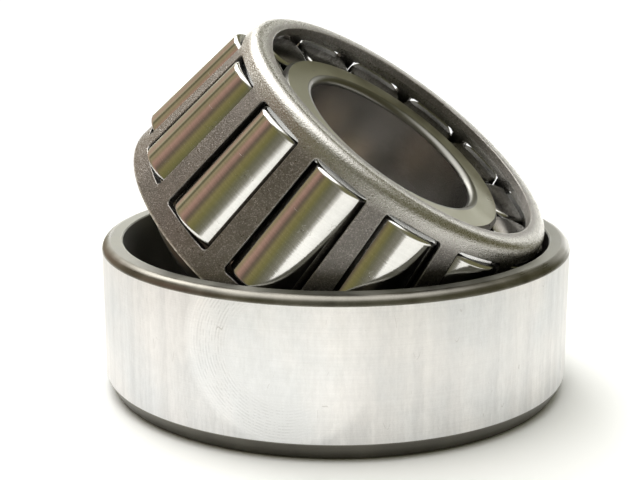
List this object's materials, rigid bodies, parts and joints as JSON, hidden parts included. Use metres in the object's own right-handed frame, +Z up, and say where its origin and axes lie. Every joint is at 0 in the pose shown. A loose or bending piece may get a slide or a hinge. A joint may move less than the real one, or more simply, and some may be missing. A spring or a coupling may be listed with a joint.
{
  "type": "tapered roller bearing",
  "caption": "Single-row tapered roller bearing: a cup with a caged cone assembly leaning loose in its wide mouth.",
  "frame": {"origin": "centre of the cup's back face, which lies on the table", "axes": "+Z up the cup's axis towards its wide mouth; the cone assembly leans towards +X"},
  "size_m": [0.062, 0.062, 0.048],
  "materials": {
    "cup_steel": "ground bearing steel, satin outside and lapped raceway",
    "ring_steel": "ground bearing steel, satin faces and polished bore",
    "cage_steel": "phosphated pressed sheet steel, fine matte grain",
    "roller_steel": "superfinished bearing steel, mirror bright"
  },
  "bodies": {
    "cup": {"cup": "cup_steel"},
    "cage": {"cage": "cage_steel"},
    "inner_ring": {"inner_ring": "ring_steel"},
    "roller_01": {"roller_01": "roller_steel"},
    "roller_02": {"roller_02": "roller_steel"},
    "roller_03": {"roller_03": "roller_steel"},
    "roller_04": {"roller_04": "roller_steel"},
    "roller_05": {"roller_05": "roller_steel"},
    "roller_06": {"roller_06": "roller_steel"},
    "roller_07": {"roller_07": "roller_steel"},
    "roller_08": {"roller_08": "roller_steel"},
    "roller_09": {"roller_09": "roller_steel"},
    "roller_10": {"roller_10": "roller_steel"},
    "roller_11": {"roller_11": "roller_steel"},
    "roller_12": {"roller_12": "roller_steel"},
    "roller_13": {"roller_13": "roller_steel"},
    "roller_14": {"roller_14": "roller_steel"}
  },
  "joints": [
    {"name": "cone_lift", "type": "slide", "parent": "cup", "child": "cage", "axis": [0, 0, 1], "range_m": [0, 0.04]},
    {"name": "inner_ring_spin", "type": "hinge", "parent": "cage", "child": "inner_ring", "pos_m": [-0.00348, 0.00118, 0.01689], "axis": [0.5594, -0.1909, 0.8066], "continuous": true},
    {"name": "roller_01_spin", "type": "hinge", "parent": "cage", "child": "roller_01", "pos_m": [-0.01601, -0.0168, 0.02432], "axis": [0.6499, -0.0647, 0.7572], "continuous": true},
    {"name": "roller_02_spin", "type": "hinge", "parent": "cage", "child": "roller_02", "pos_m": [-0.00896, -0.02125, 0.01837], "axis": [0.6001, -0.0333, 0.7992], "continuous": true},
    {"name": "roller_03_spin", "type": "hinge", "parent": "cage", "child": "roller_03", "pos_m": [-0.00055, -0.02135, 0.01252], "axis": [0.5408, -0.0326, 0.8405], "continuous": true},
    {"name": "roller_04_spin", "type": "hinge", "parent": "cage", "child": "roller_04", "pos_m": [0.00754, -0.01708, 0.00792], "axis": [0.4837, -0.0627, 0.873], "continuous": true},
    {"name": "roller_05_spin", "type": "hinge", "parent": "cage", "child": "roller_05", "pos_m": [0.01372, -0.00929, 0.00548], "axis": [0.4401, -0.1177, 0.8902], "continuous": true},
    {"name": "roller_06_spin", "type": "hinge", "parent": "cage", "child": "roller_06", "pos_m": [0.01676, 0.00049, 0.00569], "axis": [0.4186, -0.1868, 0.8887], "continuous": true},
    {"name": "roller_07_spin", "type": "hinge", "parent": "cage", "child": "roller_07", "pos_m": [0.01606, 0.01032, 0.0085], "axis": [0.4236, -0.2561, 0.8689], "continuous": true},
    {"name": "roller_08_spin", "type": "hinge", "parent": "cage", "child": "roller_08", "pos_m": [0.01175, 0.01824, 0.01336], "axis": [0.4539, -0.312, 0.8346], "continuous": true},
    {"name": "roller_09_spin", "type": "hinge", "parent": "cage", "child": "roller_09", "pos_m": [0.0047, 0.02269, 0.0193], "axis": [0.5037, -0.3435, 0.7926], "continuous": true},
    {"name": "roller_10_spin", "type": "hinge", "parent": "cage", "child": "roller_10", "pos_m": [-0.0037, 0.02279, 0.02516], "axis": [0.563, -0.3442, 0.7513], "continuous": true},
    {"name": "roller_11_spin", "type": "hinge", "parent": "cage", "child": "roller_11", "pos_m": [-0.0118, 0.01852, 0.02976], "axis": [0.6202, -0.3141, 0.7189], "continuous": true},
    {"name": "roller_12_spin", "type": "hinge", "parent": "cage", "child": "roller_12", "pos_m": [-0.01798, 0.01073, 0.0322], "axis": [0.6638, -0.259, 0.7016], "continuous": true},
    {"name": "roller_13_spin", "type": "hinge", "parent": "cage", "child": "roller_13", "pos_m": [-0.02101, 0.00095, 0.03199], "axis": [0.6852, -0.19, 0.7031], "continuous": true},
    {"name": "roller_14_spin", "type": "hinge", "parent": "cage", "child": "roller_14", "pos_m": [-0.02031, -0.00888, 0.02918], "axis": [0.6803, -0.1207, 0.7229], "continuous": true}
  ],
  "couplings": [
    {"joint": "roller_01_spin", "follows": "inner_ring_spin", "ratio": -3.7585},
    {"joint": "roller_02_spin", "follows": "inner_ring_spin", "ratio": -3.7585},
    {"joint": "roller_03_spin", "follows": "inner_ring_spin", "ratio": -3.7585},
    {"joint": "roller_04_spin", "follows": "inner_ring_spin", "ratio": -3.7585},
    {"joint": "roller_05_spin", "follows": "inner_ring_spin", "ratio": -3.7585},
    {"joint": "roller_06_spin", "follows": "inner_ring_spin", "ratio": -3.7585},
    {"joint": "roller_07_spin", "follows": "inner_ring_spin", "ratio": -3.7585},
    {"joint": "roller_08_spin", "follows": "inner_ring_spin", "ratio": -3.7585},
    {"joint": "roller_09_spin", "follows": "inner_ring_spin", "ratio": -3.7585},
    {"joint": "roller_10_spin", "follows": "inner_ring_spin", "ratio": -3.7585},
    {"joint": "roller_11_spin", "follows": "inner_ring_spin", "ratio": -3.7585},
    {"joint": "roller_12_spin", "follows": "inner_ring_spin", "ratio": -3.7585},
    {"joint": "roller_13_spin", "follows": "inner_ring_spin", "ratio": -3.7585},
    {"joint": "roller_14_spin", "follows": "inner_ring_spin", "ratio": -3.7585}
  ]
}
